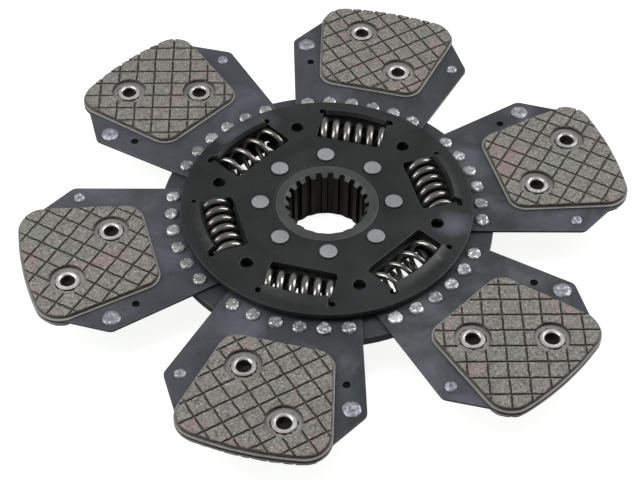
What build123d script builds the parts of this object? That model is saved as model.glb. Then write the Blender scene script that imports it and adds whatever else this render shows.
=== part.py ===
"""Clutch disc, 330 mm, with six pairs of grooved pads and a sprung damper hub."""

import os
from math import asin, atan2, cos, degrees, hypot, pi, radians, sin

from build123d import *

os.makedirs("parts", exist_ok=True)

# ---- driving dimensions, mm and degrees -------------------------------------
# Heights are measured from the rear end of the hub, and radii from its axis.
PADDLES = 6
PADDLE_STEP = 360 / PADDLES
BETWEEN_PADDLES = PADDLE_STEP / 2

# hub
HUB_LENGTH = 33.0
HUB_RADIUS = 28.1
HUB_REAR_CHAMFER = 1.0
HUB_FRONT_CHAMFER = 0.5
FLANGE_RADIUS = 42.95
SPLINE_TEETH = 21
SPLINE_ROOT_RADIUS = 22.5
SPLINE_TIP_RADIUS = 20.5
SPLINE_MOUTH_RADIUS = 22.9
SPLINE_GAP_ROOT_WIDTH = 2.7
SPLINE_GAP_TIP_WIDTH = 3.5
SPLINE_GAP_OVERCUT = 1.0
STOP_LUG_RADIUS = 47.0
STOP_LUG_HALF_ANGLE = 6.0
TWIST_LIMIT = 7.0

# damper stack
COVER_RADIUS = 78.5
COVER_THICKNESS = 3.0
FRONT_COVER_TOP = 32.8
CARRIER_RADIUS = 90.0
CARRIER_THICKNESS = 5.2
CARRIER_TOP = 25.8
SPRING_HEIGHT = 23.8

# spring windows and springs
HEAVY_PITCH_RADIUS = 58.7
WINDOW_INNER = 48.0
WINDOW_CORNER = 1.2
HEAVY_SPRING_LENGTH = 36.0
HEAVY_SPRING_RADIUS = 9.0
HEAVY_WIRE = 4.2
HEAVY_TURNS = 6.15
LIGHT_PITCH_RADIUS = 59.2
LIGHT_SPRING_LENGTH = 40.4
LIGHT_SPRING_RADIUS = 10.6
LIGHT_WIRE = 2.8
LIGHT_TURNS = 4.15
LIGHT_WINDOWS = (2, 5)
WIRE_SIDES = 6
RUNS_A_TURN = 12
FIRST_COIL_ANGLE = 90.0

# hoods over the springs
HOOD_CREASE_RADIUS = 73.3
HOOD_LIP_RADIUS = 68.4
HOOD_LIFT = 3.3
HOOD_ROOT = 0.5
HOOD_RELIEF_CIRCLE = 71.2
HOOD_RELIEF_RADIUS = 1.8
HOOD_RELIEF_OFFSET = 1.5

# friction set
FRICTION_RING_INNER = 43.6
FRICTION_RING_OUTER = 47.6
FRONT_RING_THICKNESS = 2.0
DISC_SPRING_THICKNESS = 0.8
DISC_SPRING_MARGIN = 0.2

# segments
SEGMENT_THICKNESS = 1.6
SEGMENT_INNER = 76.0
SEGMENT_OUTER = 159.0
SEGMENT_WAIST = (60.0, 32.7)
SEGMENT_SHOULDER = (128.4, 52.0)
SEGMENT_TOE = (160.0, 33.0)
SEGMENT_SHOULDER_ROUND = 5.0
SEGMENT_TOE_ROUND = 6.0

# pads
PAD_INNER = 96.3
PAD_OUTER = 165.0
PAD_INNER_HALF_WIDTH = 28.2
PAD_OUTER_HALF_WIDTH = 43.4
PAD_INNER_ROUND = 10.0
PAD_OUTER_ROUND = 14.0
BACKING_THICKNESS = 1.0
BACKING_LEDGE = 1.3
LINING_THICKNESS = 2.25
GROOVE_PITCH = 10.1
GROOVE_WIDTH = 1.1
GROOVE_DEPTH = 1.1
GROOVE_LINES = 8

# fasteners
HUB_RIVETS = 8
HUB_RIVET_CIRCLE = 35.8
HUB_RIVET_SHANK = 6.5
HUB_RIVET_HEAD = 10.2
HUB_RIVET_HEAD_HEIGHT = 1.0
HUB_RIVET_TAIL_HEIGHT = 1.8
HUB_RIVET_TAPER = 20.0
SEGMENT_RIVETS = 6
SEGMENT_RIVET_CIRCLE = 83.5
SEGMENT_RIVET_STEP = 8.6
SEGMENT_RIVET_SHANK = 4.6
SEGMENT_RIVET_HEAD = 8.0
SEGMENT_RIVET_HEAD_HEIGHT = 1.9
SEGMENT_RIVET_TAPER = 20.0
PAD_RIVETS = ((143.7, 14.1), (115.2, -14.1))
PAD_RIVET_SHANK = 9.0
PAD_RIVET_BORE = 7.2
PAD_RIVET_HEAD = 13.0
PAD_RIVET_HEAD_HEIGHT = 1.2
PAD_RIVET_TAPER = 30.0
PAD_RIVET_WELL = 19.0
LARGE_BALANCE_RIVET = (126.7, 43.7)
LARGE_BALANCE_HEAD = 9.5
LARGE_BALANCE_SHANK = 5.0
SMALL_BALANCE_RIVET = (126.7, -43.7)
SMALL_BALANCE_HEAD = 6.4
SMALL_BALANCE_SHANK = 3.4
BALANCE_HEAD_HEIGHT = 1.3
BALANCE_TAPER = 30.0
BALANCE_BORE_SHARE = 0.4
RIVET_SIDES = 12
SHANK_SIDES = 8
SEGMENT_DIMPLE = (112.8, 37.7)
SEGMENT_DIMPLE_DIAMETER = 4.3
SEGMENT_DIMPLE_DEPTH = 1.2
COVER_HOLE_CIRCLE = 60.2
COVER_HOLE_DIAMETER = 7.0

# fits
COVER_TO_HUB = 0.2
CARRIER_TO_FLANGE = 0.05
LUG_TO_NOTCH = 0.3
LUG_TO_RINGS = 0.2
LUG_STOP_ANGLE = 0.3
SPRING_SIDE_ROOM = 0.6

# ---- heights worked out from the stack --------------------------------------
FRONT_COVER_INSIDE = FRONT_COVER_TOP - COVER_THICKNESS
REAR_COVER_INSIDE = 2 * SPRING_HEIGHT - FRONT_COVER_INSIDE
REAR_COVER_BOTTOM = REAR_COVER_INSIDE - COVER_THICKNESS
CARRIER_BOTTOM = CARRIER_TOP - CARRIER_THICKNESS
SEGMENT_BOTTOM = CARRIER_TOP
SEGMENT_TOP = SEGMENT_BOTTOM + SEGMENT_THICKNESS
FRONT_BACKING_TOP = SEGMENT_TOP + BACKING_THICKNESS
REAR_BACKING_BOTTOM = SEGMENT_BOTTOM - BACKING_THICKNESS
FRONT_LINING_TOP = FRONT_BACKING_TOP + LINING_THICKNESS
REAR_LINING_BOTTOM = REAR_BACKING_BOTTOM - LINING_THICKNESS

# ---- the pads' middle, and a length that runs a groove off the pad at both ends
PAD_CENTRE = (PAD_INNER + PAD_OUTER) / 2
GROOVE_LENGTH = hypot(PAD_OUTER - PAD_INNER, 2 * PAD_OUTER_HALF_WIDTH)


def level(height, angle=0.0):
    """Plane at a height, its X axis pointing outwards at an angle round the hub."""
    return Plane(
        origin=(0, 0, height),
        x_dir=(cos(radians(angle)), sin(radians(angle)), 0),
        z_dir=(0, 0, 1),
    )


def radial_section(angle=0.0):
    """Upright plane through the axis: X runs outwards and Y runs up."""
    out = (cos(radians(angle)), sin(radians(angle)), 0)
    return Plane(origin=(0, 0, 0), x_dir=out, z_dir=(sin(radians(angle)), -cos(radians(angle)), 0))


def finish(piece, name):
    piece.part.label = name
    export_step(piece.part, f"parts/{name}.step")


# ---- shared outlines --------------------------------------------------------
def half_length(window):
    length = LIGHT_SPRING_LENGTH if window in LIGHT_WINDOWS else HEAVY_SPRING_LENGTH
    return length / 2


def carrier_window(window):
    """Opening that holds a spring by its ends and clears its sides."""
    if window in LIGHT_WINDOWS:
        outer = LIGHT_PITCH_RADIUS + LIGHT_SPRING_RADIUS + SPRING_SIDE_ROOM
    else:
        outer = HEAVY_PITCH_RADIUS + HEAVY_SPRING_RADIUS + SPRING_SIDE_ROOM
    with BuildSketch() as outline:
        with Locations(((WINDOW_INNER + outer) / 2, 0)):
            Rectangle(outer - WINDOW_INNER, 2 * half_length(window))
    return outline.sketch


def rivet_hole(shank, mode=Mode.ADD):
    """Hole that clears a rivet shank however the shank is turned; its few sides are hidden by the heads."""
    RegularPolygon(shank / 2, SHANK_SIDES, major_radius=False, mode=mode)


def sector(radius, half_angle):
    """Slice of a disc from the axis out, either side of the X axis."""
    with BuildSketch() as outline:
        with BuildLine():
            rim = CenterArc((0, 0), radius, -half_angle, 2 * half_angle)
            Polyline(rim @ 1, (0, 0), rim @ 0)
        make_face()
    return outline.sketch


def spline_gap():
    """Space between two teeth, wider at the tips than at the root."""
    with BuildSketch() as outline:
        with BuildLine():
            Polyline(
                (SPLINE_TIP_RADIUS - SPLINE_GAP_OVERCUT, SPLINE_GAP_TIP_WIDTH / 2),
                (SPLINE_TIP_RADIUS, SPLINE_GAP_TIP_WIDTH / 2),
                (SPLINE_ROOT_RADIUS, SPLINE_GAP_ROOT_WIDTH / 2),
                (SPLINE_ROOT_RADIUS, -SPLINE_GAP_ROOT_WIDTH / 2),
                (SPLINE_TIP_RADIUS, -SPLINE_GAP_TIP_WIDTH / 2),
                (SPLINE_TIP_RADIUS - SPLINE_GAP_OVERCUT, -SPLINE_GAP_TIP_WIDTH / 2),
                close=True,
            )
        make_face()
    return outline.sketch


def hood_half_angle(half):
    """Half the sweep of a hood, whose ends stand over the ends of its window."""
    return degrees(asin(half / HOOD_CREASE_RADIUS))


def cover_window(half):
    """Pressed window with parallel ends, and a relief notch beside each end of its hood."""
    relief_angle = degrees(asin((half + HOOD_RELIEF_OFFSET) / HOOD_RELIEF_CIRCLE))
    with BuildSketch() as outline:
        with BuildSketch(mode=Mode.PRIVATE) as opening:
            with Locations((WINDOW_INNER, 0)):
                Rectangle(2 * HOOD_CREASE_RADIUS, 2 * half, align=(Align.MIN, Align.CENTER))
            Circle(HOOD_CREASE_RADIUS, mode=Mode.INTERSECT)
            chamfer(opening.vertices().group_by(Axis.X)[0], WINDOW_CORNER)
        add(opening.sketch)
        for side in (-1, 1):
            with PolarLocations(HOOD_RELIEF_CIRCLE, 1, start_angle=side * relief_angle):
                RegularPolygon(HOOD_RELIEF_RADIUS, SHANK_SIDES)
    return outline.sketch


def segment_outline():
    """Flared sheet with rounded shoulders, narrowing again under the pads."""
    with BuildSketch() as outline:
        with BuildLine():
            Polyline(
                SEGMENT_WAIST,
                SEGMENT_SHOULDER,
                SEGMENT_TOE,
                (SEGMENT_TOE[0], -SEGMENT_TOE[1]),
                (SEGMENT_SHOULDER[0], -SEGMENT_SHOULDER[1]),
                (SEGMENT_WAIST[0], -SEGMENT_WAIST[1]),
                close=True,
            )
        make_face()
        Circle(SEGMENT_OUTER, mode=Mode.INTERSECT)
        Circle(SEGMENT_INNER, mode=Mode.SUBTRACT)
        shoulders = sorted(outline.vertices(), key=lambda corner: abs(corner.Y))[-2:]
        fillet(shoulders, SEGMENT_SHOULDER_ROUND)
        toes = outline.vertices().group_by(Axis.X)[-1]
        fillet(toes, SEGMENT_TOE_ROUND)
    return outline.sketch


def pad_outline(inset=0.0):
    """Rounded trapezium with an arc outside, drawn in by an inset for the lining on its backing."""
    with BuildSketch() as outline:
        with BuildLine():
            Polyline(
                (PAD_INNER, PAD_INNER_HALF_WIDTH),
                (PAD_OUTER, PAD_OUTER_HALF_WIDTH),
                (PAD_OUTER, -PAD_OUTER_HALF_WIDTH),
                (PAD_INNER, -PAD_INNER_HALF_WIDTH),
                close=True,
            )
        make_face()
        Circle(PAD_OUTER, mode=Mode.INTERSECT)
        fillet(outline.vertices().group_by(Axis.X)[0], PAD_INNER_ROUND)
        toes = sorted(outline.vertices(), key=lambda corner: abs(corner.Y))[-2:]
        fillet(toes, PAD_OUTER_ROUND)
        if inset:
            offset(amount=-inset, mode=Mode.REPLACE)
    return outline.sketch


def segment_rivet_angles():
    middle = (SEGMENT_RIVETS - 1) / 2
    return [(index - middle) * SEGMENT_RIVET_STEP for index in range(SEGMENT_RIVETS)]


# ---- hub: one turned forging with a broached bore ---------------------------
with BuildPart() as hub:
    with BuildSketch(radial_section()):
        with BuildLine():
            Polyline(
                (0, 0),
                (HUB_RADIUS - HUB_REAR_CHAMFER, 0),
                (HUB_RADIUS, HUB_REAR_CHAMFER),
                (HUB_RADIUS, REAR_COVER_INSIDE),
                (FLANGE_RADIUS, REAR_COVER_INSIDE),
                (FLANGE_RADIUS, FRONT_COVER_INSIDE),
                (HUB_RADIUS, FRONT_COVER_INSIDE),
                (HUB_RADIUS, HUB_LENGTH - HUB_FRONT_CHAMFER),
                (HUB_RADIUS - HUB_FRONT_CHAMFER, HUB_LENGTH),
                (0, HUB_LENGTH),
                close=True,
            )
        make_face()
    revolve(axis=Axis.Z)

    # stop lugs, which run in the notches of the carrier disc
    with BuildSketch(level(CARRIER_BOTTOM + LUG_TO_RINGS)):
        with PolarLocations(0, PADDLES, start_angle=BETWEEN_PADDLES):
            add(sector(STOP_LUG_RADIUS, STOP_LUG_HALF_ANGLE))
    extrude(amount=CARRIER_THICKNESS - 2 * LUG_TO_RINGS)

    # splined bore: the tooth tips stand at the small radius
    with BuildSketch():
        Circle(SPLINE_TIP_RADIUS)
        with PolarLocations(0, SPLINE_TEETH):
            add(spline_gap())
    extrude(amount=HUB_LENGTH, mode=Mode.SUBTRACT)

    # 45 degree lead-in at both mouths
    with BuildSketch(radial_section()):
        for mouth, inwards in ((0, 1), (HUB_LENGTH, -1)):
            with BuildLine():
                Polyline(
                    (0, mouth),
                    (SPLINE_MOUTH_RADIUS, mouth),
                    (0, mouth + inwards * SPLINE_MOUTH_RADIUS),
                    close=True,
                )
            make_face()
    revolve(axis=Axis.Z, mode=Mode.SUBTRACT)

    with BuildSketch(level(REAR_COVER_INSIDE)):
        with PolarLocations(HUB_RIVET_CIRCLE, HUB_RIVETS, start_angle=BETWEEN_PADDLES):
            rivet_hole(HUB_RIVET_SHANK)
    extrude(amount=FRONT_COVER_INSIDE - REAR_COVER_INSIDE, mode=Mode.SUBTRACT)
finish(hub, "hub")


# ---- cover plates: alike, one turned over -----------------------------------
def make_cover(inside, outwards):
    """Plate from its inside face outwards (1 up, -1 down), with six hooded windows."""
    outside = inside + outwards * COVER_THICKNESS
    with BuildPart() as cover:
        with BuildSketch(level(min(inside, outside))):
            Circle(COVER_RADIUS)
            Circle(HUB_RADIUS + COVER_TO_HUB, mode=Mode.SUBTRACT)
            with PolarLocations(HUB_RIVET_CIRCLE, HUB_RIVETS, start_angle=BETWEEN_PADDLES):
                rivet_hole(HUB_RIVET_SHANK, Mode.SUBTRACT)
            with PolarLocations(COVER_HOLE_CIRCLE, PADDLES, start_angle=BETWEEN_PADDLES):
                Circle(COVER_HOLE_DIAMETER / 2, mode=Mode.SUBTRACT)
            for window in range(PADDLES):
                with PolarLocations(0, 1, start_angle=window * PADDLE_STEP):
                    add(cover_window(half_length(window)), mode=Mode.SUBTRACT)
        extrude(amount=COVER_THICKNESS)

        # each hood is a strip bent outwards, standing on the outer edge of its window
        slope = atan2(HOOD_LIFT, HOOD_CREASE_RADIUS - HOOD_LIP_RADIUS)
        across = (COVER_THICKNESS * sin(slope), COVER_THICKNESS * cos(slope))
        for window in range(PADDLES):
            sweep_angle = 2 * hood_half_angle(half_length(window))
            start = window * PADDLE_STEP - sweep_angle / 2
            lip_top = outside + outwards * HOOD_LIFT
            with BuildSketch(radial_section(start)):
                with BuildLine():
                    Polyline(
                        (HOOD_CREASE_RADIUS + HOOD_ROOT, inside),
                        (HOOD_CREASE_RADIUS + HOOD_ROOT, outside),
                        (HOOD_CREASE_RADIUS, outside),
                        (HOOD_LIP_RADIUS, lip_top),
                        (HOOD_LIP_RADIUS - across[0], lip_top - outwards * across[1]),
                        (HOOD_CREASE_RADIUS - across[0] / 2, inside),
                        close=True,
                    )
                make_face()
            revolve(axis=Axis.Z, revolution_arc=sweep_angle)
    return cover


finish(make_cover(FRONT_COVER_INSIDE, 1), "front_cover_plate")
finish(make_cover(REAR_COVER_INSIDE, -1), "rear_cover_plate")

# ---- carrier disc -----------------------------------------------------------
with BuildPart() as carrier:
    with BuildSketch(level(CARRIER_BOTTOM)):
        Circle(CARRIER_RADIUS)
        Circle(FLANGE_RADIUS + CARRIER_TO_FLANGE, mode=Mode.SUBTRACT)
        for window in range(PADDLES):
            with PolarLocations(0, 1, start_angle=window * PADDLE_STEP):
                add(carrier_window(window), mode=Mode.SUBTRACT)
        notch_half_angle = STOP_LUG_HALF_ANGLE + TWIST_LIMIT + LUG_STOP_ANGLE
        with PolarLocations(0, PADDLES, start_angle=BETWEEN_PADDLES):
            add(sector(STOP_LUG_RADIUS + LUG_TO_NOTCH, notch_half_angle), mode=Mode.SUBTRACT)
        for paddle in range(PADDLES):
            for angle in segment_rivet_angles():
                with PolarLocations(SEGMENT_RIVET_CIRCLE, 1, start_angle=paddle * PADDLE_STEP + angle):
                    rivet_hole(SEGMENT_RIVET_SHANK, Mode.SUBTRACT)
    extrude(amount=CARRIER_THICKNESS)
finish(carrier, "carrier_disc")

# ---- friction set between covers and carrier --------------------------------
with BuildPart() as front_ring:
    with BuildSketch(level(CARRIER_TOP)):
        Circle(FRICTION_RING_OUTER)
        Circle(FRICTION_RING_INNER, mode=Mode.SUBTRACT)
    extrude(amount=FRONT_RING_THICKNESS)
finish(front_ring, "front_friction_ring")

with BuildPart() as rear_ring:
    with BuildSketch(level(REAR_COVER_INSIDE)):
        Circle(FRICTION_RING_OUTER)
        Circle(FRICTION_RING_INNER, mode=Mode.SUBTRACT)
    extrude(amount=CARRIER_BOTTOM - REAR_COVER_INSIDE)
finish(rear_ring, "rear_friction_ring")

with BuildPart() as disc_spring:
    inner = FRICTION_RING_INNER + DISC_SPRING_MARGIN
    outer = FRICTION_RING_OUTER - DISC_SPRING_MARGIN
    seat = CARRIER_TOP + FRONT_RING_THICKNESS
    with BuildSketch(radial_section()):
        with BuildLine():
            Polyline(
                (inner, FRONT_COVER_INSIDE - DISC_SPRING_THICKNESS),
                (inner, FRONT_COVER_INSIDE),
                (outer, seat + DISC_SPRING_THICKNESS),
                (outer, seat),
                close=True,
            )
        make_face()
    revolve(axis=Axis.Z)
finish(disc_spring, "disc_spring")

# ---- damper springs: coiled wire with ends ground flat ----------------------
# Each coil is swept along short straight runs, right-handed, from underneath, and cut square
# at both ends.
for window in range(PADDLES):
    light = window in LIGHT_WINDOWS
    length = LIGHT_SPRING_LENGTH if light else HEAVY_SPRING_LENGTH
    wire = LIGHT_WIRE if light else HEAVY_WIRE
    coil_radius = (LIGHT_SPRING_RADIUS if light else HEAVY_SPRING_RADIUS) - wire / 2
    runs = round((LIGHT_TURNS if light else HEAVY_TURNS) * RUNS_A_TURN)
    heading = radians(window * PADDLE_STEP)
    outwards = Vector(cos(heading), sin(heading), 0)
    along = Vector(-sin(heading), cos(heading), 0)
    down = Vector(0, 0, -1)
    middle = outwards * (LIGHT_PITCH_RADIUS if light else HEAVY_PITCH_RADIUS) - down * SPRING_HEIGHT
    travel = length + wire
    corners = []
    for run in range(runs + 1):
        turn = radians(FIRST_COIL_ANGLE) + 2 * pi * run / RUNS_A_TURN
        spoke = outwards * cos(turn) + down * sin(turn)
        corners.append(middle + along * travel * (run / runs - 0.5) + spoke * coil_radius)
    with BuildPart() as spring:
        with BuildLine():
            wire_path = Polyline(*corners)
        with BuildSketch(Plane(origin=wire_path @ 0, z_dir=wire_path % 0)):
            RegularPolygon(wire / 2, WIRE_SIDES)
        sweep(path=wire_path, transition=Transition.RIGHT)
        ends = Plane(origin=middle, x_dir=along, z_dir=(0, 0, 1))
        reach = 2 * LIGHT_SPRING_RADIUS
        with BuildSketch(ends.offset(-reach)):
            Rectangle(length, 2 * reach)
        extrude(amount=2 * reach, mode=Mode.INTERSECT)
    finish(spring, f"damper_spring_{window + 1}")

# ---- segments ---------------------------------------------------------------
for paddle in range(PADDLES):
    with BuildPart() as segment:
        with BuildSketch(level(SEGMENT_BOTTOM, paddle * PADDLE_STEP)):
            add(segment_outline())
            for angle in segment_rivet_angles():
                with PolarLocations(SEGMENT_RIVET_CIRCLE, 1, start_angle=angle):
                    rivet_hole(SEGMENT_RIVET_SHANK, Mode.SUBTRACT)
            with Locations(*PAD_RIVETS):
                rivet_hole(PAD_RIVET_SHANK, Mode.SUBTRACT)
            with Locations(LARGE_BALANCE_RIVET):
                rivet_hole(LARGE_BALANCE_SHANK, Mode.SUBTRACT)
            with Locations(SMALL_BALANCE_RIVET):
                rivet_hole(SMALL_BALANCE_SHANK, Mode.SUBTRACT)
        extrude(amount=SEGMENT_THICKNESS)
        with BuildSketch(level(SEGMENT_TOP, paddle * PADDLE_STEP)):
            with Locations(SEGMENT_DIMPLE):
                RegularPolygon(SEGMENT_DIMPLE_DIAMETER / 2, RIVET_SIDES)
        extrude(amount=-SEGMENT_DIMPLE_DEPTH, mode=Mode.SUBTRACT)
    finish(segment, f"segment_{paddle + 1}")


# ---- pads: a grooved lining on a thin backing, front and rear ---------------
def make_backing(paddle, bottom):
    with BuildPart() as backing:
        with BuildSketch(level(bottom, paddle * PADDLE_STEP)):
            add(pad_outline())
            with Locations(*PAD_RIVETS):
                rivet_hole(PAD_RIVET_SHANK, Mode.SUBTRACT)
        extrude(amount=BACKING_THICKNESS)
    return backing


def make_lining(paddle, bottom, groove_bottom):
    with BuildPart() as lining:
        with BuildSketch(level(bottom, paddle * PADDLE_STEP)):
            add(pad_outline(BACKING_LEDGE))
            with Locations(*PAD_RIVETS):
                Circle(PAD_RIVET_WELL / 2, mode=Mode.SUBTRACT)
        extrude(amount=LINING_THICKNESS)
        with BuildSketch(level(groove_bottom, paddle * PADDLE_STEP)):
            for turn in (45, 135):
                with Locations(Location((PAD_CENTRE, 0, 0), turn)):
                    with GridLocations(GROOVE_PITCH, 0, GROOVE_LINES, 1):
                        Rectangle(GROOVE_WIDTH, GROOVE_LENGTH)
        extrude(amount=GROOVE_DEPTH, mode=Mode.SUBTRACT)
    return lining


for paddle in range(PADDLES):
    finish(make_backing(paddle, SEGMENT_TOP), f"front_backing_{paddle + 1}")
    finish(make_backing(paddle, REAR_BACKING_BOTTOM), f"rear_backing_{paddle + 1}")
    front = make_lining(paddle, FRONT_BACKING_TOP, FRONT_LINING_TOP - GROOVE_DEPTH)
    finish(front, f"front_lining_{paddle + 1}")
    finish(make_lining(paddle, REAR_LINING_BOTTOM, REAR_LINING_BOTTOM), f"rear_lining_{paddle + 1}")


# ---- fasteners: each kind is one group of separate solids -------------------
def rivet_group(places, bottom, top, shank, head, head_height, tail_height, taper, bore=0.0):
    """One rivet with a tapered head at each end and an optional blind bore, repeated at each place."""
    with BuildPart(mode=Mode.PRIVATE) as rivet:
        with BuildSketch(level(bottom)):
            RegularPolygon(shank / 2, SHANK_SIDES)
        extrude(amount=top - bottom)
        with BuildSketch(level(top)):
            RegularPolygon(head / 2, RIVET_SIDES)
        extrude(amount=head_height, taper=taper)
        with BuildSketch(level(bottom)):
            RegularPolygon(head / 2, RIVET_SIDES)
        extrude(amount=-tail_height, taper=taper)
        if bore:
            with BuildSketch(level(top + head_height)):
                RegularPolygon(bore / 2, RIVET_SIDES)
            extrude(amount=bottom - top - head_height, mode=Mode.SUBTRACT)
    with BuildPart() as group:
        with Locations(*places):
            add(rivet.part)
    return group


def around(radius, angles):
    return [(radius * cos(radians(a)), radius * sin(radians(a)), 0) for a in angles]


def on_every_paddle(spots):
    return [
        place
        for paddle in range(PADDLES)
        for x, y in spots
        for place in around(hypot(x, y), [paddle * PADDLE_STEP + degrees(atan2(y, x))])
    ]


hub_rivet_angles = [BETWEEN_PADDLES + index * 360 / HUB_RIVETS for index in range(HUB_RIVETS)]
hub_rivets = rivet_group(
    around(HUB_RIVET_CIRCLE, hub_rivet_angles), REAR_COVER_BOTTOM, FRONT_COVER_TOP, HUB_RIVET_SHANK,
    HUB_RIVET_HEAD, HUB_RIVET_HEAD_HEIGHT, HUB_RIVET_TAIL_HEIGHT, HUB_RIVET_TAPER)
finish(hub_rivets, "hub_rivets")

segment_rivet_spots = [
    (SEGMENT_RIVET_CIRCLE * cos(radians(a)), SEGMENT_RIVET_CIRCLE * sin(radians(a)))
    for a in segment_rivet_angles()
]
segment_rivets = rivet_group(
    on_every_paddle(segment_rivet_spots), CARRIER_BOTTOM, SEGMENT_TOP, SEGMENT_RIVET_SHANK,
    SEGMENT_RIVET_HEAD, SEGMENT_RIVET_HEAD_HEIGHT, SEGMENT_RIVET_HEAD_HEIGHT, SEGMENT_RIVET_TAPER)
finish(segment_rivets, "segment_rivets")

pad_rivets = rivet_group(
    on_every_paddle(PAD_RIVETS), REAR_BACKING_BOTTOM, FRONT_BACKING_TOP, PAD_RIVET_SHANK,
    PAD_RIVET_HEAD, PAD_RIVET_HEAD_HEIGHT, PAD_RIVET_HEAD_HEIGHT, PAD_RIVET_TAPER, PAD_RIVET_BORE)
finish(pad_rivets, "pad_rivets")

for name, spot, head, shank in (
    ("balance_rivets_large", LARGE_BALANCE_RIVET, LARGE_BALANCE_HEAD, LARGE_BALANCE_SHANK),
    ("balance_rivets_small", SMALL_BALANCE_RIVET, SMALL_BALANCE_HEAD, SMALL_BALANCE_SHANK),
):
    balance_rivets = rivet_group(
        on_every_paddle([spot]), SEGMENT_BOTTOM, SEGMENT_TOP, shank, head, BALANCE_HEAD_HEIGHT,
        BALANCE_HEAD_HEIGHT, BALANCE_TAPER, shank * BALANCE_BORE_SHARE)
    finish(balance_rivets, name)
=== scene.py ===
"""Looks of a large clutch disc with grooved sintered pads and a coil-sprung damper hub."""

from math import atan2, cos, hypot, pi, radians, sin

import bmesh
import bpy
from mathutils import Matrix, Vector, noise


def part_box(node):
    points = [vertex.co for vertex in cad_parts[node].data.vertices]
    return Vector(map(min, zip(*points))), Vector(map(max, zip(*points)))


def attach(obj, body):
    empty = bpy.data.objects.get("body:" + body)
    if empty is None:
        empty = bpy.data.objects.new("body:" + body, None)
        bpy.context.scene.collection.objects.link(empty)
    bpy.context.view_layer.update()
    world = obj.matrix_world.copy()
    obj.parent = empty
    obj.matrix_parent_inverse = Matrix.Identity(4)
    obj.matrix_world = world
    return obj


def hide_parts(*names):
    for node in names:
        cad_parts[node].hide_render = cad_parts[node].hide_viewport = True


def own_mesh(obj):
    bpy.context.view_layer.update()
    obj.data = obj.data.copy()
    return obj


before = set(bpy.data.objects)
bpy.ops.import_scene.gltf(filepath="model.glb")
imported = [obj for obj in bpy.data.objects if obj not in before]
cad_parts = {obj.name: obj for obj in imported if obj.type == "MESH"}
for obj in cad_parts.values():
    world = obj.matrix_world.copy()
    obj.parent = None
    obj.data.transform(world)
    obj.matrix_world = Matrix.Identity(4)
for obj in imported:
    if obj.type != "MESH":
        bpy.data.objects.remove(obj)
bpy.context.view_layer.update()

# ---- camera -----------------------------------------------------------------
# A long lens, looking down at the disc from the front and turned a little to the right.
lens = bpy.data.cameras.new("camera")
lens.sensor_fit = "HORIZONTAL"
lens.sensor_width = 36
lens.lens = 95.65
camera = bpy.data.objects.new("camera", lens)
camera.matrix_world = Matrix(
    (
        (0.96122, 0.19803, -0.19194, -0.1828),
        (-0.27563, 0.71320, -0.64450, -0.6015),
        (0.00926, 0.67242, 0.74012, 0.6946),
        (0, 0, 0, 1),
    )
)
bpy.context.collection.objects.link(camera)
bpy.context.scene.camera = camera
bpy.context.scene.view_settings.view_transform = "Standard"

# ---- light ------------------------------------------------------------------
# A pale studio: a large soft lamp overhead and a long strip at each side light the disc,
# and two low panels are there to be mirrored in the steel, on both flanks of the wires.
world = bpy.data.worlds.new("studio")
world.use_nodes = True
world.node_tree.nodes["Background"].inputs["Color"].default_value = (0.95, 0.98, 1.0, 1)
world.node_tree.nodes["Background"].inputs["Strength"].default_value = 0.40
bpy.context.scene.world = world
for name, spot, size, power, shines, mirrored in (
    ("overhead", (-0.1, 0.1, 1.3), (1.0, 0.8), 5.0, True, False),
    ("strip_left", (-0.55, 0.1, 0.85), (0.30, 1.3), 8.0, True, False),
    ("strip_right", (0.55, 0.1, 0.85), (0.30, 1.3), 5.5, True, False),
    ("panel_left", (-0.85, 0.0, 0.42), (0.42, 1.2), 13.0, False, True),
    ("panel_right", (0.85, 0.0, 0.42), (0.42, 1.2), 13.0, False, True),
):
    lamp = bpy.data.lights.new(name, "AREA")
    lamp.shape = "RECTANGLE"
    lamp.size, lamp.size_y = size
    lamp.energy = power
    light = bpy.data.objects.new(name, lamp)
    light.location = spot
    light.visible_diffuse = shines
    light.visible_glossy = mirrored
    towards = Vector((0, 0, 0.02)) - Vector(spot)
    light.rotation_euler = towards.to_track_quat("-Z", "Y").to_euler()
    bpy.context.collection.objects.link(light)


# ---- tabletop ---------------------------------------------------------------
# A plain sheet of white card under the disc, lit so that it is almost shadowless to the
# camera, though it throws only a little light back up at the disc.
def add_node(tree, kind, inputs=(), **settings):
    """One shader node; inputs maps a socket to a value or to another node's output."""
    node = tree.nodes.new(kind)
    for key, value in settings.items():
        setattr(node, key, value)
    for key, value in dict(inputs).items():
        if isinstance(value, bpy.types.NodeSocket):
            tree.links.new(value, node.inputs[key])
        else:
            node.inputs[key].default_value = value
    return node


def add_noise(tree, where, scale, detail=3.0, roughness=0.55, distortion=0.0):
    inputs = {
        "Vector": where,
        "Scale": scale,
        "Detail": detail,
        "Roughness": roughness,
        "Distortion": distortion,
    }
    return add_node(tree, "ShaderNodeTexNoise", inputs).outputs["Fac"]


def remap(tree, value, low, high, to_low=0.0, to_high=1.0):
    inputs = {
        "Value": value,
        "From Min": low,
        "From Max": high,
        "To Min": to_low,
        "To Max": to_high,
    }
    return add_node(tree, "ShaderNodeMapRange", inputs).outputs["Result"]


def blend_colour(tree, share, first, second):
    """Sockets 6 and 7 are a Mix node's two colours, and output 2 is its colour."""
    node = add_node(tree, "ShaderNodeMix", {0: share, 6: first, 7: second}, data_type="RGBA")
    return node.outputs[2]


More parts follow.
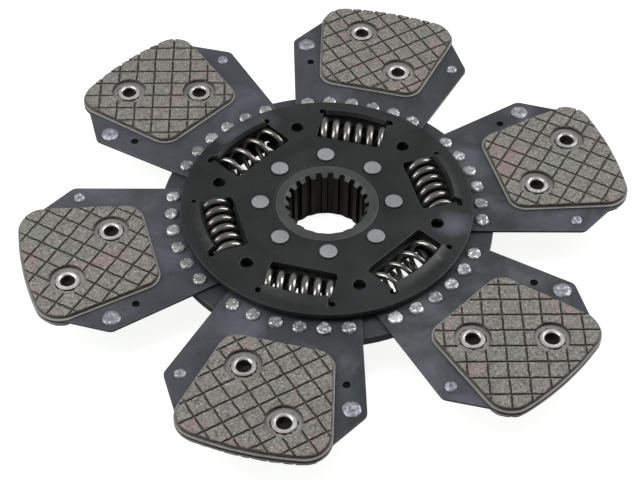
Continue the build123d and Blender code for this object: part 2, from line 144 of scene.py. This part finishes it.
card = bpy.data.materials.new("card")
card.use_nodes = True
tree = card.node_tree
shader = tree.nodes["Principled BSDF"]
shader.inputs["Roughness"].default_value = 0.9
seen = add_node(tree, "ShaderNodeLightPath").outputs["Is Camera Ray"]
tree.links.new(remap(tree, seen, 0.0, 1.0, 0.12, 0.90), shader.inputs["Emission Strength"])
tone = add_noise(tree, add_node(tree, "ShaderNodeTexCoord").outputs["Object"], 3.0, 2.0)
for socket, first, second in (
    ("Base Color", (0.25, 0.255, 0.25, 1), (0.27, 0.275, 0.27, 1)),
    ("Emission Color", (0.98, 1.0, 0.975, 1), (1.0, 1.0, 0.99, 1)),
):
    tree.links.new(blend_colour(tree, tone, first, second), shader.inputs[socket])
top = bpy.data.meshes.new("tabletop")
top.from_pydata([(-4, -4, 0), (4, -4, 0), (4, 4, 0), (-4, 4, 0)], [], [(0, 1, 2, 3)])
top.materials.append(card)
table = bpy.data.objects.new("tabletop", top)
bpy.context.collection.objects.link(table)


# ---- hub --------------------------------------------------------------------
# A turned steel forging with a broached bore: its end face is grey and machined, and the
# splines inside are coloured a darker brown. Like every bare steel piece here it has
# blotches, a fine grain, edges lightened partly by rubbed wear and partly by a painted
# highlight, and painted shade darkening it where surfaces meet.
def maths(tree, operation, first, second, third=0.0):
    inputs = {0: first, 1: second, 2: third}
    return add_node(tree, "ShaderNodeMath", inputs, operation=operation).outputs[0]


def new_group(name, inputs, outputs):
    """Empty shader group; each socket is a name with its type."""
    tree = bpy.data.node_groups.new(name, "ShaderNodeTree")
    for direction, sockets in (("INPUT", inputs), ("OUTPUT", outputs)):
        for label, kind in sockets.items():
            tree.interface.new_socket(label, in_out=direction, socket_type="NodeSocket" + kind)
    entrance = add_node(tree, "NodeGroupInput").outputs
    return tree, entrance, add_node(tree, "NodeGroupOutput").inputs


worn_and_painted_light, given, result = new_group(
    "worn_metal_painted_light",
    {
        "Dark": "Color",
        "Light": "Color",
        "Edge": "Color",
        "Grain": "Float",
        "Bump": "Float",
        "Roughness": "Float",
    },
    {"Color": "Color", "Roughness": "Float", "Normal": "Vector"},
)
place = add_node(worn_and_painted_light, "ShaderNodeTexCoord").outputs["Object"]
blotch = remap(worn_and_painted_light, add_noise(worn_and_painted_light, place, 42.0, 5.0, 0.6), 0.34, 0.66)
grain = remap(worn_and_painted_light, add_noise(worn_and_painted_light, place, given["Grain"], 4.0, 0.65), 0.3, 0.7)
smear = remap(worn_and_painted_light, add_noise(worn_and_painted_light, place, 17.0, 3.0, 0.5, 1.6), 0.35, 0.7)
share = maths(worn_and_painted_light, "MULTIPLY_ADD", blotch, 0.40, maths(worn_and_painted_light, "MULTIPLY", grain, 0.40))
share = maths(worn_and_painted_light, "MULTIPLY_ADD", smear, 0.25, share)
surface = blend_colour(worn_and_painted_light, share, given["Dark"], given["Light"])
# Edges are mixed towards the Edge colour: partly rubbed wear, partly a painted highlight where
# edges catch the light.
rounded = add_node(worn_and_painted_light, "ShaderNodeBevel", {"Radius": 0.0005}, samples=4).outputs["Normal"]
straight = add_node(worn_and_painted_light, "ShaderNodeNewGeometry").outputs["Normal"]
turned = add_node(
    worn_and_painted_light, "ShaderNodeVectorMath", {0: rounded, 1: straight}, operation="DOT_PRODUCT"
).outputs["Value"]
on_edge = remap(worn_and_painted_light, turned, 0.99, 0.88)
rubbed_and_highlit = maths(worn_and_painted_light, "MULTIPLY", on_edge, remap(worn_and_painted_light, grain, 0.1, 0.6, 0.35, 1.0))
surface = blend_colour(worn_and_painted_light, rubbed_and_highlit, surface, given["Edge"])
# Painted shade: ambient occlusion darkens the colour towards near-black where surfaces meet.
nearby = add_node(worn_and_painted_light, "ShaderNodeAmbientOcclusion", {"Distance": 0.004}, samples=4)
painted_occlusion_shade = remap(worn_and_painted_light, nearby.outputs["AO"], 0.25, 0.9, 0.75, 0.0)
surface = blend_colour(worn_and_painted_light, painted_occlusion_shade, surface, (0.006, 0.006, 0.006, 1))
worn_and_painted_light.links.new(surface, result["Color"])
worn_and_painted_light.links.new(maths(worn_and_painted_light, "MULTIPLY_ADD", smear, 0.22, given["Roughness"]), result["Roughness"])
bumped = add_node(
    worn_and_painted_light, "ShaderNodeBump", {"Height": grain, "Strength": given["Bump"], "Distance": 0.0003}
)
worn_and_painted_light.links.new(bumped.outputs["Normal"], result["Normal"])


def metal(name, dark, light, edge, roughness, metallic, grain=900.0, bump=0.15, specular=0.5):
    """Worn metal in its own colours; the shader's constants stay on the shader."""
    material = bpy.data.materials.new(name)
    material.use_nodes = True
    tree = material.node_tree
    shader = tree.nodes["Principled BSDF"]
    shader.inputs["Metallic"].default_value = metallic
    shader.inputs["Specular IOR Level"].default_value = specular
    wear_and_light = add_node(tree, "ShaderNodeGroup", node_tree=worn_and_painted_light)
    for key, value in (("Dark", dark), ("Light", light), ("Edge", edge)):
        wear_and_light.inputs[key].default_value = (*value, 1)
    for key, value in (("Grain", grain), ("Bump", bump), ("Roughness", roughness)):
        wear_and_light.inputs[key].default_value = value
    tree.links.new(wear_and_light.outputs["Color"], shader.inputs["Base Color"])
    tree.links.new(wear_and_light.outputs["Roughness"], shader.inputs["Roughness"])
    tree.links.new(wear_and_light.outputs["Normal"], shader.inputs["Normal"])
    return material


def new_piece(name, form, materials, body, node):
    """Makes a piece of a form, ties it to its body, and puts it in place of its CAD node."""
    mesh = bpy.data.meshes.new(name)
    form.to_mesh(mesh)
    form.free()
    for material in materials:
        mesh.materials.append(material)
    piece = bpy.data.objects.new(name, mesh)
    bpy.context.collection.objects.link(piece)
    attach(piece, body)
    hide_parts(node)
    return piece


def solid_copy(node):
    """A CAD solid with the flat faces of its triangles joined again."""
    form = bmesh.new()
    form.from_mesh(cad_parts[node].data)
    bmesh.ops.remove_doubles(form, verts=form.verts, dist=1e-6)
    bmesh.ops.dissolve_limit(form, angle_limit=radians(1), verts=form.verts, edges=form.edges)
    return form


def softened(node, name, materials, body, width, choose=None):
    """A CAD solid with rounded edges; choose gives a face's material number."""
    form = solid_copy(node)
    for face in form.faces:
        face.smooth = True
        face.material_index = choose(face) if choose else 0
    piece = new_piece(name, form, materials, body, node)
    rounding = piece.modifiers.new("rounding", "BEVEL")
    rounding.width = width
    rounding.segments = 2
    rounding.limit_method = "ANGLE"
    rounding.angle_limit = radians(35)
    rounding.use_clamp_overlap = False
    levelled = piece.modifiers.new("levelled", "WEIGHTED_NORMAL")
    levelled.mode = "FACE_AREA"
    levelled.weight = 100


BORE_RADIUS = 0.0227
hub_face = metal(
    "hub_face", (0.020, 0.021, 0.021), (0.052, 0.055, 0.054), (0.11, 0.11, 0.11),
    0.52, 0.3, 1100, 0.3,
)
hub_bore = metal(
    "hub_bore", (0.005, 0.004, 0.003), (0.026, 0.021, 0.015), (0.09, 0.08, 0.07),
    0.30, 0.5, 300, 0.2, 0.4,
)


def in_bore(face):
    middle = face.calc_center_median()
    return 1 if hypot(middle.x, middle.y) < BORE_RADIUS and abs(face.normal.z) < 0.5 else 0


softened(
    "hub", "hub_forging", [hub_face, hub_bore], "hub_and_covers", 0.0002, in_bore
)

# ---- friction rings and disc spring -----------------------------------------
# Two moulded rings that rub on the carrier, and the coned steel spring that presses them.
# They lie between the plates and hardly show.
ring_stuff = metal(
    "friction_ring", (0.03, 0.027, 0.023), (0.06, 0.055, 0.047), (0.08, 0.075, 0.065),
    0.7, 0.0, 1800,
)
blue_steel = metal(
    "disc_spring", (0.05, 0.05, 0.055), (0.10, 0.10, 0.11), (0.25, 0.25, 0.25), 0.25, 0.8
)
for node, material in (
    ("front_friction_ring", ring_stuff),
    ("rear_friction_ring", ring_stuff),
    ("disc_spring", blue_steel),
):
    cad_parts[node].data.materials.clear()
    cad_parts[node].data.materials.append(material)

# ---- carrier disc -----------------------------------------------------------
# A thick steel plate that runs loose on the hub between the covers and carries the
# segments. The walls of its windows for the springs are near-black with painted shade.
WINDOWS_REACH = 0.0745
carrier = metal(
    "carrier", (0.016, 0.016, 0.019), (0.043, 0.044, 0.050), (0.10, 0.10, 0.11),
    0.42, 0.25, 900, 0.2, 0.4,
)
# Near-black painted shade for the window walls of the carrier and the undersides of the cover
# hoods.
dark_window_shade = metal(
    "carrier_window_shade", (0.004, 0.004, 0.004), (0.010, 0.0095, 0.009), (0.03, 0.03, 0.03),
    0.4, 0.1, 700, 0.2, 0.15,
)


# Window walls between the covers take the near-black painted shade.
def between_covers(face):
    middle = face.calc_center_median()
    return 1 if hypot(middle.x, middle.y) < WINDOWS_REACH and abs(face.normal.z) < 0.5 else 0


softened(
    "carrier_disc", "carrier_plate", [carrier, dark_window_shade], "friction_disc",
    0.0003, between_covers,
)

# ---- damper springs ---------------------------------------------------------
# Coils of round oil-tempered wire with their ends ground flat: four heavy ones that fill
# their windows, and two light ones. Each has a thin left-handed coil inside, coloured
# near-black as painted shade.
wire_steel = metal(
    "spring_wire", (0.07, 0.067, 0.062), (0.33, 0.32, 0.30), (0.45, 0.45, 0.44),
    0.14, 0.85, 1400, 0.12,
)
# Near-black painted shade for the inner coils.
inner_wire_shade = metal(
    "inner_wire_shade", (0.008, 0.008, 0.007), (0.045, 0.043, 0.040), (0.15, 0.15, 0.15),
    0.25, 0.6, 1400, 0.12,
)
HEAVY = {
    "length": 0.036, "radius": 0.0076, "wire": 0.0021, "turns": 6.15,
    "circle": 0.0586, "height": 0.0249,
}
LIGHT = {
    "length": 0.0404, "radius": 0.0092, "wire": 0.0014, "turns": 4.15,
    "circle": 0.0592, "height": 0.0238,
}
HEAVY_INNER = {"length": 0.036, "radius": 0.0042, "wire": 0.0011, "turns": 9.1}
LIGHT_INNER = {"length": 0.0404, "radius": 0.0050, "wire": 0.0011, "turns": 3.98}
OUTER_START = pi / 2
INNER_START = radians(283.5)
WIRE_SIDES = 14
RUNS_A_TURN = 40
down = Vector((0, 0, -1))


def wind(form, size, centre, outward, along, first, hand, tint):
    """Winds one coil along a straight axis; first is the angle at which it starts."""
    half = size["length"] / 2
    runs = int(size["turns"] * RUNS_A_TURN)
    travel = 2 * half + 2 * size["wire"]
    rings = []
    for run in range(runs + 1):
        angle = first + hand * 2 * pi * run / RUNS_A_TURN
        spoke = outward * cos(angle) + down * sin(angle)
        middle = centre + along * (run / runs - 0.5) * travel + spoke * size["radius"]
        ring = []
        for corner in range(WIRE_SIDES):
            turn = 2 * pi * corner / WIRE_SIDES
            point = middle + (spoke * cos(turn) + along * sin(turn)) * size["wire"]
            beyond = (point - centre).dot(along)
            point -= along * (beyond - max(-half, min(half, beyond)))
            ring.append(form.verts.new(point))
        rings.append(ring)
    for before, after in zip(rings, rings[1:]):
        for corner in range(WIRE_SIDES):
            following = (corner + 1) % WIRE_SIDES
            face = form.faces.new(
                (before[corner], before[following], after[following], after[corner])
            )
            face.smooth = True
            face.material_index = tint
    form.faces.new(rings[0]).material_index = tint
    form.faces.new(rings[-1][::-1]).material_index = tint


for number in range(6):
    size, inner = (LIGHT, LIGHT_INNER) if number in (2, 5) else (HEAVY, HEAVY_INNER)
    heading = number * pi / 3
    outward = Vector((cos(heading), sin(heading), 0))
    along = Vector((-sin(heading), cos(heading), 0))
    centre = outward * size["circle"] - down * size["height"]
    form = bmesh.new()
    wind(form, size, centre, outward, along, OUTER_START, 1, 0)
    wind(form, inner, centre, outward, along, INNER_START, -1, 1)
    bmesh.ops.recalc_face_normals(form, faces=form.faces)
    coil = new_piece(
        f"coil_{number + 1}", form, [wire_steel, inner_wire_shade],
        "damper_springs", f"damper_spring_{number + 1}",
    )
    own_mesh(coil)

# ---- cover plates -----------------------------------------------------------
# Two pressed plates, blackened and satin, lightened along the rims and the lips of the
# hoods partly by rubbed wear and partly by a painted highlight, with bluish patches of
# painted sheen on one hood and beside another. The faces under the hoods that face the
# hub are near-black with painted shade.
COVER_TOP = 0.0328
COVER_BOTTOM = 0.0148
cover = metal(
    "cover", (0.0065, 0.007, 0.007), (0.0165, 0.0178, 0.018), (0.08, 0.08, 0.08),
    0.42, 0.1, 1300, 0.25, 0.32,
)
tree = cover.node_tree
shader = tree.nodes["Principled BSDF"]
surface = shader.inputs["Base Color"].links[0].from_socket
place = add_node(tree, "ShaderNodeTexCoord").outputs["Object"]
uneven = add_noise(tree, place, 130.0, 4.0, 0.6)
# Painted sheen: three soft patches are mixed towards a pale bluish grey, standing in for a
# reflection.
for direction, radius, reach, strength in (
    (-29, 0.069, 0.012, 0.8),
    (119, 0.072, 0.014, 0.55),
    (104, 0.072, 0.011, 0.45),
):
    spot = (radius * cos(radians(direction)), radius * sin(radians(direction)), 0.034)
    away = add_node(tree, "ShaderNodeVectorMath", {0: place, 1: spot}, operation="DISTANCE")
    edge = maths(tree, "MULTIPLY_ADD", uneven, reach, away.outputs["Value"])
    painted_reflection = remap(tree, edge, reach * 1.5, reach * 0.6, 0.0, strength)
    surface = blend_colour(tree, painted_reflection, surface, (0.078, 0.080, 0.098, 1))
tree.links.new(surface, shader.inputs["Base Color"])


# Faces under the hoods that face the hub take the near-black painted shade.
def under_hood(face):
    middle = face.calc_center_median()
    radius = hypot(middle.x, middle.y)
    inwards = -(face.normal.x * middle.x + face.normal.y * middle.y) / radius
    return 1 if 0.060 < radius < 0.0742 and inwards > 0.3 else 0


for side in ("front", "rear"):
    softened(
        side + "_cover_plate", side + "_cover", [cover, dark_window_shade], "hub_and_covers",
        0.00035, under_hood,
    )


# ---- hub rivets -------------------------------------------------------------
# Eight flat-headed rivets through the covers and the flange of the hub: pale and matt on
# top, with painted shade: a near-black rim and a near-black ring on the plate round each head.
def lathe(form, spot, profile, tint, rough=0.0, steps=32):
    """Turns a half section about an upright axis; rough dents it, tint gives materials."""
    rings = []
    for radius, height in profile:
        ring = []
        for step in range(steps if radius else 1):
            angle = 2 * pi * step / steps
            x, y = spot[0] + radius * cos(angle), spot[1] + radius * sin(angle)
            point = Vector((x, y, height))
            if rough:
                point.z += rough * noise.noise(Vector((point.x, point.y, height * 0.2)) * 620)
                dent = noise.noise(Vector((point.x + 0.3, point.y, height)) * 310)
                point.z -= rough * 0.6 * abs(dent)
            ring.append(form.verts.new(point))
        rings.append(ring)
    for upper, lower, number in zip(rings, rings[1:], tint):
        for step in range(steps):
            after = (step + 1) % steps
            corners = [upper[step % len(upper)], lower[step % len(lower)]]
            corners += [lower[after % len(lower)], upper[after % len(upper)]]
            corners = list(dict.fromkeys(corners))
            if len(corners) > 2:
                face = form.faces.new(corners)
                face.smooth = True
                face.material_index = number


def turned_group(
    name, node, spots, profile, materials, body="friction_disc", rough=0.0, tint=None
):
    """All the fasteners of one kind, turned from one half section."""
    form = bmesh.new()
    for spot in spots:
        lathe(form, spot, profile, tint or [0] * len(profile), rough)
    bmesh.ops.recalc_face_normals(form, faces=form.faces)
    new_piece(name, form, materials, body, node).data.set_sharp_from_angle(angle=radians(50))


HUB_RIVET_CIRCLE = 0.0358
HUB_RIVET_SHANK = 0.0032
rivet_top = metal(
    "rivet_top", (0.125, 0.129, 0.133), (0.245, 0.25, 0.254), (0.26, 0.26, 0.26),
    0.55, 0.2, 1300, 0.3,
)
# Near-black painted shade for the side of each head and a thin ring on the plate round it.
rivet_rim_shade = metal(
    "rivet_rim_shade", (0.003, 0.003, 0.003), (0.009, 0.009, 0.009), (0.02, 0.02, 0.02),
    0.5, 0.0, 900, 0.1, 0.1,
)
low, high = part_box("hub_rivets")
profile = [
    (0, high[2] - 0.0001), (0.0030, high[2] - 0.00006), (0.0044, high[2]),
    (0.0047, high[2] - 0.00015), (0.0051, high[2] - 0.0007),
    (0.0052, 0.03284), (0.0058, 0.03283), (0.0059, COVER_TOP),
    (HUB_RIVET_SHANK, COVER_TOP), (HUB_RIVET_SHANK, COVER_BOTTOM), (0.0051, COVER_BOTTOM),
    (0.0049, low[2] + 0.0006), (0.0040, low[2]), (0, low[2]),
]
headings = [radians(30 + 45 * n) for n in range(8)]
spots = [(HUB_RIVET_CIRCLE * cos(turn), HUB_RIVET_CIRCLE * sin(turn)) for turn in headings]
turned_group(
    "hub_rivet_heads", "hub_rivets", spots, profile, [rivet_top, rivet_rim_shade],
    "hub_and_covers", tint=[0, 0, 0, 1, 1, 1, 1, 1, 1, 1, 0, 0, 0],
)

# ---- segments ---------------------------------------------------------------
# Six flared sheets of spring steel, tempered blue-grey, with a painted sheen that lightens
# them towards the upper left (-x, +y). The small dimple near one shoulder is coloured
# near-black as painted shade.
SEGMENT_TOP = 0.0274
SEGMENT_BOTTOM = 0.0258
DIMPLE = (0.1128, 0.0377)
sheet = metal(
    "segment", (0.014, 0.015, 0.017), (0.047, 0.050, 0.056), (0.17, 0.17, 0.18),
    0.38, 0.3, 900, 0.2, 0.4,
)
tree = sheet.node_tree
shader = tree.nodes["Principled BSDF"]
surface = shader.inputs["Base Color"].links[0].from_socket
place = add_node(tree, "ShaderNodeTexCoord").outputs["Object"]
# Painted sheen: the colour is mixed lighter towards the upper left (-x, +y).
across = add_node(
    tree, "ShaderNodeVectorMath", {0: place, 1: (-0.7, 0.7, 0)}, operation="DOT_PRODUCT"
).outputs["Value"]
painted_sheen = remap(tree, across, -0.10, 0.14, 0.0, 0.45)
surface = blend_colour(tree, painted_sheen, surface, (0.085, 0.086, 0.102, 1))
for scale, low, high, most, colour in (
    (26.0, 0.50, 0.66, 0.6, (0.105, 0.105, 0.125, 1)),
    (34.0, 0.54, 0.70, 0.6, (0.030, 0.037, 0.038, 1)),
    (210.0, 0.62, 0.70, 0.5, (0.018, 0.018, 0.020, 1)),
):
    stain = add_noise(tree, place, scale, 4.0, 0.6, 0.4)
    surface = blend_colour(tree, remap(tree, stain, low, high, 0.0, most), surface, colour)
tree.links.new(surface, shader.inputs["Base Color"])
# Near-black painted shade for the small dimple.
dimple_shade = metal(
    "dimple_dark_shade", (0.002, 0.002, 0.002), (0.006, 0.006, 0.006), (0.01, 0.01, 0.01),
    0.6, 0.0, 900, 0.1, 0.05,
)


def in_dimple(face):
    middle = face.calc_center_median()
    ahead = atan2(middle.y, middle.x) % (pi / 3)
    outwards = hypot(middle.x, middle.y) - hypot(*DIMPLE)
    sideways = 0.119 * (ahead - atan2(DIMPLE[1], DIMPLE[0]))
    return 1 if hypot(outwards, sideways) < 0.0024 and middle.z < 0.02735 else 0


for number in range(1, 7):
    softened(
        f"segment_{number}", f"segment_sheet_{number}", [sheet, dimple_shade],
        "friction_disc", 0.00015, in_dimple,
    )

# ---- segment rivets ---------------------------------------------------------
# Thirty-six small rivets that hold the segments on the carrier, closed by a press that
# left their flat heads bright and uneven.
SEGMENT_RIVET_CIRCLE = 0.0835
SEGMENT_RIVET_SHANK = 0.0023
CARRIER_BOTTOM = 0.0206
bright = metal(
    "rivet_bright", (0.07, 0.07, 0.074), (0.62, 0.62, 0.63), (0.75, 0.75, 0.75),
    0.2, 0.7, 500, 0.8,
)
low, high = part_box("segment_rivets")
profile = [
    (0, high[2] - 0.0002), (0.0014, high[2] - 0.0001), (0.0026, high[2]),
    (0.0033, high[2] - 0.0002), (0.0037, high[2] - 0.0007), (0.0039, high[2] - 0.0013),
    (0.0040, SEGMENT_TOP), (SEGMENT_RIVET_SHANK, SEGMENT_TOP),
    (SEGMENT_RIVET_SHANK, CARRIER_BOTTOM), (0.0040, CARRIER_BOTTOM),
    (0.0036, low[2] + 0.0007), (0.0026, low[2] + 0.0002), (0, low[2]),
]
spots = []
for paddle in range(6):
    for index in range(6):
        angle = radians(paddle * 60 + (index - 2.5) * 8.6)
        spots.append((SEGMENT_RIVET_CIRCLE * cos(angle), SEGMENT_RIVET_CIRCLE * sin(angle)))
turned_group(
    "segment_rivet_heads", "segment_rivets", spots, profile, [bright],
    rough=0.0009,
)

# ---- pad backings -----------------------------------------------------------
# Thin plated sheets under the linings. They show as a pale rim all round each lining and
# as the floor of the wells for the rivets.
backing = metal(
    "backing", (0.14, 0.133, 0.122), (0.30, 0.286, 0.266), (0.45, 0.44, 0.42), 0.45, 0.25, 1400
)
for number in range(1, 7):
    for side in ("front", "rear"):
        node = f"{side}_backing_{number}"
        softened(node, node + "_sheet", [backing], "friction_disc", 0.0002)

# ---- linings ----------------------------------------------------------------
# Sintered copper-bearing metal pressed on to the backings: matt, grainy, mottled in grey,
# pinkish and greenish, with narrow crossed grooves that are ragged and darkened brown,
# partly by dust and partly by painted shade. The flanks are darkened with painted shade.
lining_texture_and_shade, given, result = new_group(
    "sinter_texture_painted_shade",
    {"Shade": "Float"},
    {"Color": "Color", "Roughness": "Float", "Normal": "Vector"},
)
place = add_node(lining_texture_and_shade, "ShaderNodeTexCoord").outputs["Object"]
crumbs = remap(lining_texture_and_shade, add_noise(lining_texture_and_shade, place, 760.0, 4.0, 0.7), 0.34, 0.66)
patches = remap(lining_texture_and_shade, add_noise(lining_texture_and_shade, place, 120.0, 4.0, 0.6), 0.35, 0.65)
warm = remap(lining_texture_and_shade, add_noise(lining_texture_and_shade, place, 45.0, 3.0, 0.5, 0.6), 0.57, 0.68)
cool = remap(lining_texture_and_shade, add_noise(lining_texture_and_shade, place, 62.0, 3.0, 0.5, 0.9), 0.55, 0.70)
pits = remap(lining_texture_and_shade, add_noise(lining_texture_and_shade, place, 430.0, 3.0, 0.6), 0.60, 0.72)
cells = add_node(lining_texture_and_shade, "ShaderNodeTexVoronoi", {"Vector": place, "Scale": 420.0})
flecks = remap(lining_texture_and_shade, cells.outputs["Distance"], 0.24, 0.10, 0.0, 0.55)
surface = blend_colour(lining_texture_and_shade, crumbs, (0.044, 0.040, 0.035, 1), (0.224, 0.207, 0.186, 1))
for mask, most, colour in (
    (patches, 0.35, (0.165, 0.157, 0.140, 1)),
    (warm, 0.55, (0.20, 0.132, 0.130, 1)),
    (cool, 0.50, (0.128, 0.152, 0.122, 1)),
):
    surface = blend_colour(lining_texture_and_shade, maths(lining_texture_and_shade, "MULTIPLY", mask, most), surface, colour)
surface = blend_colour(lining_texture_and_shade, flecks, surface, (0.44, 0.42, 0.39, 1))
pitted = maths(lining_texture_and_shade, "MULTIPLY", pits, 0.7)
surface = blend_colour(lining_texture_and_shade, pitted, surface, (0.04, 0.035, 0.032, 1))
# The Shade mix: dust and painted shade in the grooves, painted shade on the flanks.
surface = blend_colour(lining_texture_and_shade, given["Shade"], surface, (0.034, 0.028, 0.023, 1))
# Painted shade: ambient occlusion darkens the colour in the grooves and at the foot of the walls.
nearby = add_node(lining_texture_and_shade, "ShaderNodeAmbientOcclusion", {"Distance": 0.002}, samples=4)
painted_lining_shade = remap(lining_texture_and_shade, nearby.outputs["AO"], 0.3, 0.85, 0.45, 0.0)
surface = blend_colour(lining_texture_and_shade, painted_lining_shade, surface, (0.01, 0.009, 0.008, 1))
lining_texture_and_shade.links.new(surface, result["Color"])
lining_texture_and_shade.links.new(remap(lining_texture_and_shade, crumbs, 0.0, 1.0, 0.9, 0.62), result["Roughness"])
relief = maths(lining_texture_and_shade, "MULTIPLY_ADD", pits, -1.5, crumbs)
bumped = add_node(
    lining_texture_and_shade, "ShaderNodeBump", {"Height": relief, "Strength": 0.6, "Distance": 0.0004}
)
lining_texture_and_shade.links.new(bumped.outputs["Normal"], result["Normal"])


def sinter(name, shade):
    """Lining material; shade mixes in dark brown: dust and painted shade in the grooves, painted
    shade on the flanks.
    """
    material = bpy.data.materials.new(name)
    material.use_nodes = True
    tree = material.node_tree
    shader = tree.nodes["Principled BSDF"]
    shader.inputs["Metallic"].default_value = 0.15
    stuff = add_node(tree, "ShaderNodeGroup", node_tree=lining_texture_and_shade)
    stuff.inputs["Shade"].default_value = shade
    for key, socket in (("Color", "Base Color"), ("Roughness", "Roughness"), ("Normal", "Normal")):
        tree.links.new(stuff.outputs[key], shader.inputs[socket])
    return material


land = sinter("sinter_land", 0.0)
# Grooves darkened by dust and painted shade; flanks darkened by painted shade.
groove = sinter("sinter_groove", 0.6)
flank = sinter("sinter_flank", 0.65)
GROOVE_DEPTH = 0.0011
HALVINGS = 7
for side, finest, into in (("front", 0.0014, -1), ("rear", 0.003, 1)):
    for number in range(1, 7):
        node = f"{side}_lining_{number}"
        low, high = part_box(node)
        friction_face = high[2] if side == "front" else low[2]
        form = solid_copy(node)
        bmesh.ops.triangulate(form, faces=form.faces)
        for _ in range(HALVINGS):
            long_edges = [edge for edge in form.edges if edge.calc_length() > finest]
            bmesh.ops.subdivide_edges(form, edges=long_edges, cuts=1)
            cut_faces = [face for face in form.faces if len(face.verts) > 3]
            bmesh.ops.triangulate(form, faces=cut_faces)
        for face in form.faces:
            depth = abs(face.calc_center_median().z - friction_face)
            if depth < 0.00015 and face.normal.z * into < -0.8:
                face.material_index = 0
            else:
                face.material_index = 1 if depth < GROOVE_DEPTH + 0.00005 else 2
        for vert in form.verts:
            here = vert.co.copy()
            if abs(here.z - friction_face) < GROOVE_DEPTH + 0.00015:
                drift = noise.noise_vector(here * 300) * 0.00028
                drift += noise.noise_vector(here * 1100) * 0.00014
                vert.co.x += drift.x
                vert.co.y += drift.y
                vert.co.z += abs(drift.z) * 0.7 * into
        new_piece(
            node + "_sinter", form, [land, groove, flank], "friction_disc", node
        ).data.set_sharp_from_angle(angle=radians(30))

# ---- pad rivets -------------------------------------------------------------
# Tubular rivets through each pair of linings, one at either end: a broad pale flange in
# the bottom of the well and a bright rolled mouth. The inside of the bore and a thin ring
# on the well floor round the flange are coloured near-black as painted shade.
def on_paddles(x, y):
    """The same spot on each paddle."""
    radius, angle = hypot(x, y), atan2(y, x)
    return [(radius * cos(angle + n * pi / 3), radius * sin(angle + n * pi / 3)) for n in range(6)]


BACKING_TOP = 0.0284
REAR_BACKING_BOTTOM = 0.0248
PAD_RIVET_SHANK = 0.0045
rolled = metal(
    "eyelet_flange", (0.18, 0.174, 0.162), (0.38, 0.368, 0.345), (0.5, 0.49, 0.47),
    0.32, 0.4, 800, 0.5,
)
mouth = metal(
    "eyelet_mouth", (0.30, 0.295, 0.28), (0.66, 0.65, 0.63), (0.8, 0.79, 0.77),
    0.18, 0.6, 800, 0.5,
)
# Near-black painted shade for the inside of the bore and a thin ring round the foot of the flange.
eyelet_shade = metal(
    "eyelet_bore_shade", (0.003, 0.0025, 0.002), (0.014, 0.012, 0.010), (0.02, 0.02, 0.02),
    0.6, 0.0, 600, 0.2, 0.2,
)
low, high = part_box("pad_rivets")
profile = [
    (0, 0.0252), (0.0030, 0.0252), (0.0035, SEGMENT_BOTTOM), (0.0036, high[2] - 0.0012),
    (0.0040, high[2] - 0.0009), (0.0043, high[2] - 0.0003), (0.0048, high[2]),
    (0.0053, high[2] - 0.0001), (0.0059, high[2] - 0.0003), (0.0062, high[2] - 0.0004),
    (0.0064, high[2] - 0.0006), (0.0065, 0.02844), (0.0071, 0.02842), (0.0072, BACKING_TOP),
    (PAD_RIVET_SHANK, BACKING_TOP), (PAD_RIVET_SHANK, REAR_BACKING_BOTTOM),
    (0.0065, REAR_BACKING_BOTTOM), (0.0063, low[2] + 0.0006), (0.0052, low[2]), (0, low[2]),
]
turned_group(
    "pad_rivet_rims", "pad_rivets", on_paddles(0.1437, 0.0141) + on_paddles(0.1152, -0.0141),
    profile, [rolled, mouth, eyelet_shade], rough=0.0002,
    tint=[2, 2, 2, 2, 1, 1, 1, 0, 0, 1, 2, 2, 2] + [0] * 6,
)

# ---- balance rivets ---------------------------------------------------------
# A large and a small rivet at the shoulders of each segment, upset round a dent and left
# bright by the punch.
punched = metal(
    "punched", (0.10, 0.10, 0.115), (0.36, 0.36, 0.40), (0.5, 0.5, 0.52), 0.25, 0.5, 700, 0.5
)
for name, spot, radius, shank in (
    ("large", (0.1267, 0.0437), 0.00475, 0.0025),
    ("small", (0.1267, -0.0437), 0.0032, 0.0017),
):
    node = "balance_rivets_" + name
    low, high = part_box(node)
    profile = [
        (0, high[2] - 0.0009), (radius * 0.25, high[2] - 0.0008),
        (radius * 0.42, high[2] - 0.0001), (radius * 0.6, high[2]),
        (radius * 0.82, high[2] - 0.0004), (radius, 0.0277), (radius, SEGMENT_TOP),
        (shank, SEGMENT_TOP), (shank, SEGMENT_BOTTOM), (radius, SEGMENT_BOTTOM),
        (radius * 0.9, low[2] + 0.0005), (radius * 0.6, low[2]), (0, low[2]),
    ]
    turned_group(
        f"balance_{name}_heads", node, on_paddles(*spot), profile, [punched],
        rough=0.0006,
    )
